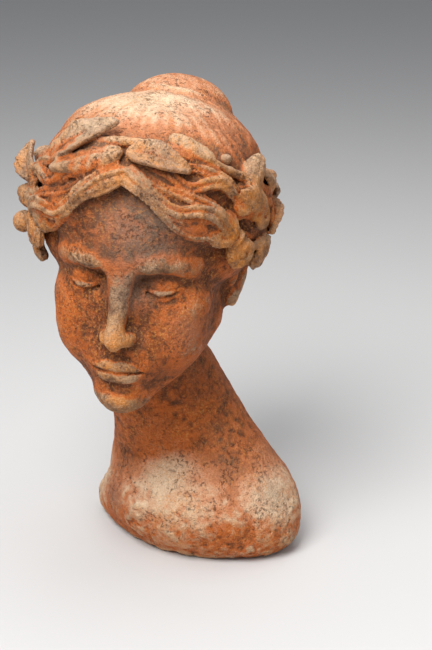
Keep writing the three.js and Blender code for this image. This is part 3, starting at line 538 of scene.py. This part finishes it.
def make_bust():
    clay = sculpt()
    points, quads = clay.skin()
    mesh = bpy.data.meshes.new("bust_skin")
    mesh.from_pydata((points * UNIT / 1000).tolist(), [], quads.tolist())
    piece = bpy.data.objects.new("bust_skin", mesh)
    bpy.context.scene.collection.objects.link(piece)
    count = 2 * len(quads)
    if count > MOST_TRIANGLES:
        fewer = piece.modifiers.new("fewer", "DECIMATE")
        fewer.ratio = MOST_TRIANGLES / count
        thinned = piece.evaluated_get(bpy.context.evaluated_depsgraph_get())
        mesh = bpy.data.meshes.new_from_object(thinned)
        piece.modifiers.clear()
        piece.data = mesh
        mesh.name = "bust_fine_skin"
    mesh.shade_smooth()
    places = np.zeros(3 * len(mesh.vertices))
    mesh.vertices.foreach_get("co", places)
    places = np.clip(places.reshape(-1, 3), *(np.array(corner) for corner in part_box("bust")))
    mesh.vertices.foreach_set("co", places.ravel())
    places = places * 1000 / UNIT
    normals = np.zeros(3 * len(mesh.vertices))
    mesh.vertex_normals.foreach_get("vector", normals)
    normals = normals.reshape(-1, 3)
    # How closed in each place is, at two sizes; this sets the orange rust of the hollows and the painted shade of the
    # deepest.
    solid = np.clip(0.5 - clay.values / (2 * clay.cell), 0, 1)
    values = {name: read(blurred(solid, reach, clay.cell), clay, places + normals * off)
              for name, reach, off in (("fine_hollow", 2.0, 0.5), ("deep_hollow", 7.0, 2.5))}
    values["worn_zone"] = zone(WORN, places)
    values["orange_zone"] = zone(ORANGE, places)
    values["pale_and_lit_zone"] = zone(PALE_AND_LIT, places)
    for name, value in values.items():
        mesh.attributes.new(name, "FLOAT", "POINT").data.foreach_set("value", value.astype(np.float32))
    print("bust:", len(points), "points,", sum(len(p.vertices) - 2 for p in mesh.polygons), "triangles")
    return piece


# The rust.

class Nodes:
    """Short names for building a material's nodes."""

    def __init__(self, material):
        material.use_nodes = True
        self.tree = material.node_tree
        self.shader = self.tree.nodes["Principled BSDF"]

    def link(self, a, b):
        self.tree.links.new(a, b)

    def new(self, kind, **values):
        node = self.tree.nodes.new(kind)
        for name, value in values.items():
            setattr(node, name, value)
        return node

    def plug(self, socket, value):
        if isinstance(value, bpy.types.NodeSocket):
            self.link(value, socket)
        else:
            socket.default_value = value

    def noise(self, place, scale, detail=4.0, rough=0.6, distortion=0.0):
        node = self.new("ShaderNodeTexNoise")
        self.link(place, node.inputs["Vector"])
        for name, value in (("Scale", scale), ("Detail", detail), ("Roughness", rough), ("Distortion", distortion)):
            node.inputs[name].default_value = value
        return node.outputs["Fac"]

    def shifted(self, place, step):
        node = self.new("ShaderNodeVectorMath", operation="ADD")
        self.link(place, node.inputs[0])
        node.inputs[1].default_value = (step, step, step)
        return node.outputs[0]

    def ramp(self, value, low, high, start=0.0, end=1.0):
        node = self.new("ShaderNodeMapRange", clamp=True)
        for name, v in (("Value", value), ("From Min", low), ("From Max", high), ("To Min", start), ("To Max", end)):
            self.plug(node.inputs[name], v)
        return node.outputs["Result"]

    def math(self, operation, a, b=0.5):
        node = self.new("ShaderNodeMath", operation=operation)
        self.plug(node.inputs[0], a)
        self.plug(node.inputs[1], b)
        return node.outputs[0]

    def blend(self, share, a, b, kind="MIX"):
        node = self.new("ShaderNodeMix", data_type="RGBA", blend_type=kind)
        self.plug(node.inputs["Factor"], share)
        self.plug(node.inputs[6], a)
        self.plug(node.inputs[7], b)
        return node.outputs[2]


def colour(hexadecimal):
    """A colour as it looks on screen, in the light values that shaders take."""
    shares = [int(hexadecimal[i:i + 2], 16) / 255 for i in (0, 2, 4)]
    return tuple(v / 12.92 if v < 0.04045 else ((v + 0.055) / 1.055) ** 2.4 for v in shares) + (1.0,)


# Colours of the rust, as they look on screen, with painted shade for the deepest recesses, a painted highlight for what
# faces up, and a pale body that is partly painted light.
DARK_BODY, LIGHT_BODY, TAN_DRIFT, ORANGE_DRIFT, PALE_AND_LIT_BODY = "754b2e", "a97b50", "bf9670", "cf7d26", "e2bf98"
HOLLOW_ORANGE, RECESS_SHADE, TOP_HIGHLIGHT, WORN_GREY, RIM_GREY = "bd5a08", "532a0c", "e6c8a6", "786657", "a07f6c"
CRUMB, GRIT, PIT, DARK_GRIT = "cf873e", "e8c8a8", "5a3725", "5e3b28"
BUMP_METRES = 0.0015


def rusted_iron():
    """Brown rust, mottled at several sizes, orange in hollows with painted shade in the deepest, a painted highlight
    where it faces up, with worn and other zones, the pale ones partly painted light.
    """
    material = bpy.data.materials.new("rusted_iron")
    n = Nodes(material)
    place = n.new("ShaderNodeTexCoord").outputs["Object"]
    fine, deep, worn_zone, orange_zone, pale_and_lit_zone = (
        n.new("ShaderNodeAttribute", attribute_name=name).outputs["Fac"]
        for name in ("fine_hollow", "deep_hollow", "worn_zone", "orange_zone", "pale_and_lit_zone"))
    split = n.new("ShaderNodeSeparateXYZ")
    n.link(n.new("ShaderNodeNewGeometry").outputs["Normal"], split.inputs[0])
    up = split.outputs["Z"]

    patches = n.noise(place, 22, 4, 0.6, 0.9)
    blotches = n.noise(place, 70, 5, 0.65, 0.6)
    mottles = n.noise(place, 190, 4, 0.7, 0.4)
    specks = n.noise(place, 430, 3, 0.7)
    grit = n.noise(place, 1000, 2, 0.8)
    crumbs = n.noise(n.shifted(place, 3.7), 560, 3, 0.65)
    drifts = n.noise(n.shifted(place, 7.1), 38, 5, 0.62, 1.2)

    # brown body, tan and orange drifting over it, and paler in the pale zones, which are partly paler patina and partly
    # painted light
    tone = n.math("ADD", n.math("MULTIPLY", blotches, 0.55), n.math("MULTIPLY", mottles, 0.45))
    body = n.blend(n.ramp(tone, 0.42, 0.58), colour(DARK_BODY), colour(LIGHT_BODY))
    body = n.blend(n.ramp(drifts, 0.48, 0.62, 0, 0.85), body, colour(TAN_DRIFT))
    orange = n.math("ADD", n.ramp(patches, 0.46, 0.62, 0, 0.8), n.math("MULTIPLY", orange_zone, 0.8))
    orange = n.math("MULTIPLY", orange, n.ramp(tone, 0.4, 0.56, 0.3, 1))
    body = n.blend(n.ramp(orange, 0, 1), body, colour(ORANGE_DRIFT))
    # orange rust gathers in the hollows, less so in the pale zones, and the deepest get painted shade
    hollow = n.math("ADD", n.ramp(deep, 0.5, 0.64), n.ramp(fine, 0.52, 0.66, 0, 0.5))
    hollow = n.math("ADD", hollow, n.ramp(mottles, 0.4, 0.66, -0.2, 0.2))
    hollow = n.math("MULTIPLY", hollow, n.ramp(pale_and_lit_zone, 0.2, 1, 1, 0.2))
    # painted light, with paler patina: the pale zones lighten the cap top and the bust under the head's shadow
    body = n.blend(n.ramp(pale_and_lit_zone, 0, 0.9, 0, 0.82), body, colour(PALE_AND_LIT_BODY))
    rust = n.blend(n.ramp(hollow, 0.08, 0.6, 0, 0.95), body, colour(HOLLOW_ORANGE))
    # painted shade: the deepest hollows darkened as if shadowed
    painted_shade = n.math("MULTIPLY", n.ramp(hollow, 0.8, 1.35, 0, 0.9), n.ramp(pale_and_lit_zone, 0.2, 0.8, 1, 0.4))
    rust = n.blend(painted_shade, rust, colour(RECESS_SHADE))
    # painted highlight: a paler colour on what faces up, standing in for light from above
    facing = n.math("ADD", up, n.math("MULTIPLY", pale_and_lit_zone, 0.2))
    painted_highlight = n.math("MULTIPLY", n.ramp(facing, 0.05, 0.7), n.ramp(tone, 0.36, 0.54, 0.6, 1))
    painted_highlight = n.math("MULTIPLY", painted_highlight, n.ramp(pale_and_lit_zone, 0, 0.6, 0.2, 1))
    painted_highlight = n.math("MULTIPLY", painted_highlight, n.ramp(hollow, 0.2, 0.9, 1, 0.25))
    painted_highlight = n.math("MULTIPLY", painted_highlight, n.ramp(orange, 0.2, 1.2, 1, 0.5))
    rust = n.blend(painted_highlight, rust, colour(TOP_HIGHLIGHT))
    # grey-brown wear on the worn zones, the high places and the rims
    worn = n.math("MULTIPLY", worn_zone, n.ramp(tone, 0.36, 0.54, 0.55, 1))
    rust = n.blend(n.math("MULTIPLY", worn, 0.85), rust, colour(WORN_GREY))
    edge = n.math("MULTIPLY", n.ramp(fine, 0.46, 0.35), n.ramp(blotches, 0.4, 0.58, 0.1, 1))
    edge = n.math("MULTIPLY", edge, n.ramp(up, -0.2, 0.5, 0.3, 1))
    rust = n.blend(n.math("MULTIPLY", edge, 0.45), rust, colour(RIM_GREY))
    # grain: orange crumbs, pale grit and dark pits, each in drifts of its own
    crumb = n.math("MULTIPLY", n.ramp(crumbs, 0.52, 0.66, 0, 0.7), n.ramp(patches, 0.4, 0.6, 0.2, 1))
    rust = n.blend(crumb, rust, colour(CRUMB))
    pale = n.math("MULTIPLY", n.ramp(grit, 0.54, 0.7, 0, 0.5), n.ramp(drifts, 0.4, 0.6, 0.3, 1))
    pale = n.math("MULTIPLY", pale, n.ramp(hollow, 0.2, 0.9, 1, 0.3))
    rust = n.blend(pale, rust, colour(GRIT))
    pit = n.math("MULTIPLY", n.ramp(specks, 0.46, 0.32), n.ramp(blotches, 0.56, 0.4, 0.1, 1))
    rust = n.blend(n.math("MULTIPLY", pit, 0.65), rust, colour(PIT))
    rust = n.blend(n.ramp(grit, 0.44, 0.28, 0, 0.5), rust, colour(DARK_GRIT))
    n.link(rust, n.shader.inputs["Base Color"])

    n.link(n.ramp(mottles, 0.3, 0.7, 0.6, 0.85), n.shader.inputs["Roughness"])
    height = blotches
    for rough, share in ((mottles, 1.1), (specks, 0.8), (crumbs, 0.6), (grit, 0.5), (pit, -0.8)):
        height = n.math("ADD", height, n.math("MULTIPLY", rough, share))
    bump = n.new("ShaderNodeBump")
    bump.inputs["Strength"].default_value = 1.0
    bump.inputs["Distance"].default_value = BUMP_METRES
    n.link(height, bump.inputs["Height"])
    n.link(bump.outputs["Normal"], n.shader.inputs["Normal"])
    n.shader.inputs["Specular IOR Level"].default_value = 0.4
    return material


# Floor, light and camera, in metres.

FLOOR_HALF = 6
AZIMUTH, ELEVATION, DISTANCE = math.radians(30), math.radians(21), 1.0
SENSOR, HALF_SEEN = 36, 0.228
TARGET_HEIGHT, TARGET_RIGHT = 0.160, 0.012
# Lamps: watts, size, and how far back to the camera, to its right and up from the target.
LAMPS = {"key": (29, 0.8, 0.9, -0.45, 0.85), "fill": (2.6, 1.2, 0.8, 0.9, 0.5), "top": (7, 1.0, -0.2, 0.1, 1.2)}
SKY, SKY_STRENGTH = (0.9, 0.94, 1.0, 1), 0.25


def make_floor():
    mesh = bpy.data.meshes.new("floor")
    corners = [(FLOOR_HALF * x, FLOOR_HALF * y, 0) for x, y in ((-1, -1), (1, -1), (1, 1), (-1, 1))]
    mesh.from_pydata(corners, [], [(0, 1, 2, 3)])
    floor = bpy.data.objects.new("floor", mesh)
    bpy.context.scene.collection.objects.link(floor)
    material = bpy.data.materials.new("floor_grey")
    material.use_nodes = True
    shader = material.node_tree.nodes["Principled BSDF"]
    shader.inputs["Base Color"].default_value = (0.62, 0.61, 0.6, 1)
    shader.inputs["Roughness"].default_value = 0.9
    mesh.materials.append(material)


def make_lamp(name, energy, size, at, target):
    light = bpy.data.lights.new(name, "AREA")
    light.energy, light.size = energy, size
    lamp = bpy.data.objects.new(name, light)
    lamp.location = at
    lamp.rotation_euler = (target - at).to_track_quat("-Z", "Y").to_euler()
    bpy.context.scene.collection.objects.link(lamp)


def make_view():
    level = math.cos(ELEVATION)
    back = Vector((math.sin(AZIMUTH) * level, -math.cos(AZIMUTH) * level, math.sin(ELEVATION)))
    right = Vector((math.cos(AZIMUTH), math.sin(AZIMUTH), 0))
    up = Vector((0, 0, 1))
    target = Vector((0, 0, TARGET_HEIGHT)) + right * TARGET_RIGHT
    data = bpy.data.cameras.new("camera")
    data.sensor_fit, data.sensor_height, data.sensor_width = "VERTICAL", SENSOR, SENSOR
    data.lens = SENSOR / 2 / (HALF_SEEN / DISTANCE)
    camera = bpy.data.objects.new("camera", data)
    camera.location = target + back * DISTANCE
    camera.rotation_euler = (-back).to_track_quat("-Z", "Y").to_euler()
    bpy.context.scene.collection.objects.link(camera)
    bpy.context.scene.camera = camera
    for name, (watts, size, to_camera, to_right, to_top) in LAMPS.items():
        make_lamp(name, watts, size, target + back * to_camera + right * to_right + up * to_top, target)
    world = bpy.data.worlds.new("studio")
    bpy.context.scene.world = world
    world.use_nodes = True
    world.node_tree.nodes["Background"].inputs["Color"].default_value = SKY
    world.node_tree.nodes["Background"].inputs["Strength"].default_value = SKY_STRENGTH
    bpy.context.scene.view_settings.view_transform = "Standard"


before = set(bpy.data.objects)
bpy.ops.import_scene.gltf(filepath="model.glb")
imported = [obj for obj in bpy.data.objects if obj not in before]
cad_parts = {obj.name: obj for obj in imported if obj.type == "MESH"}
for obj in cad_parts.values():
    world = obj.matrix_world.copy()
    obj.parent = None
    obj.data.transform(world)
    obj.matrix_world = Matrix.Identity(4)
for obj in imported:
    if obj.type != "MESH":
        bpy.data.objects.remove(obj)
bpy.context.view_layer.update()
make_view()
make_floor()
bust = make_bust()
bust.data.materials.append(rusted_iron())
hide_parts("bust")
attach(bust, "root")
